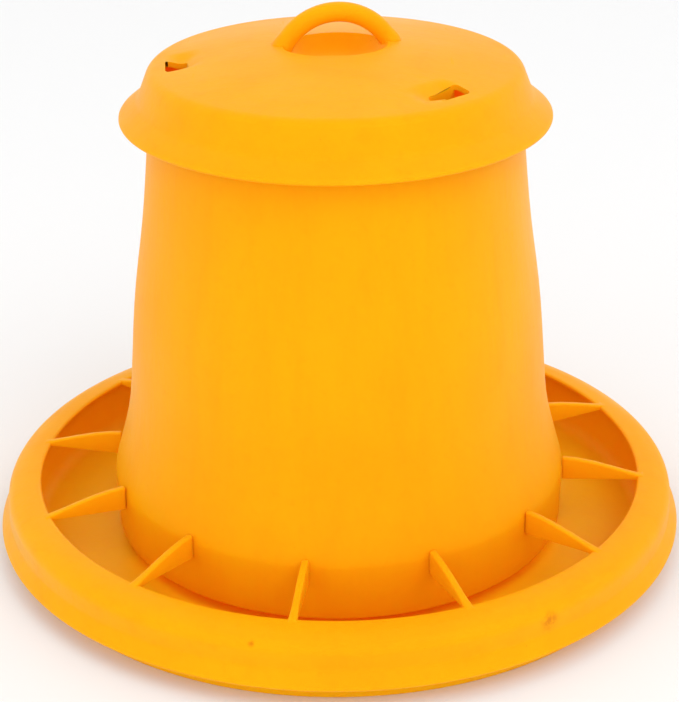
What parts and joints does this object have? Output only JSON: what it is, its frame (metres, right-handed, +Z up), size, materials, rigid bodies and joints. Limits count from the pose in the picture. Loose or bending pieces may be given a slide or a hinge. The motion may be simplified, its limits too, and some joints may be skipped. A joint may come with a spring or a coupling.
{
  "type": "rabbit hopper feeder",
  "caption": "Gravity hopper feeder for rabbits and poultry: tapered hopper with lid and grip arch, standing in a round pan under an anti-waste grill of radial fins.",
  "frame": {"origin": "centre of the feeder on the floor it stands on", "axes": "+Z up along the axis of the hopper and pan, -Y towards the viewer, +X to the viewer's right"},
  "size_m": [0.3, 0.3, 0.235],
  "materials": {
    "lid_plastic": "satin moulded polypropylene, yellow",
    "hopper_plastic": "satin moulded polypropylene, yellow",
    "grill_plastic": "satin moulded polypropylene, yellow",
    "pan_plastic": "satin moulded polypropylene, yellow"
  },
  "bodies": {
    "pan": {"feed_pan": "pan_plastic"},
    "grill": {"feed_grill": "grill_plastic"},
    "hopper": {"hopper": "hopper_plastic"},
    "lid": {"lid": "lid_plastic"}
  },
  "joints": [
    {"name": "grill_lift", "type": "slide", "parent": "pan", "child": "grill", "axis": [0, 0, 1], "range_m": [0, 0.045]},
    {"name": "hopper_lift", "type": "slide", "parent": "pan", "child": "hopper", "axis": [0, 0, 1], "range_m": [0, 0.09]},
    {"name": "lid_lift", "type": "slide", "parent": "hopper", "child": "lid", "axis": [0, 0, 1], "range_m": [0, 0.06]}
  ]
}
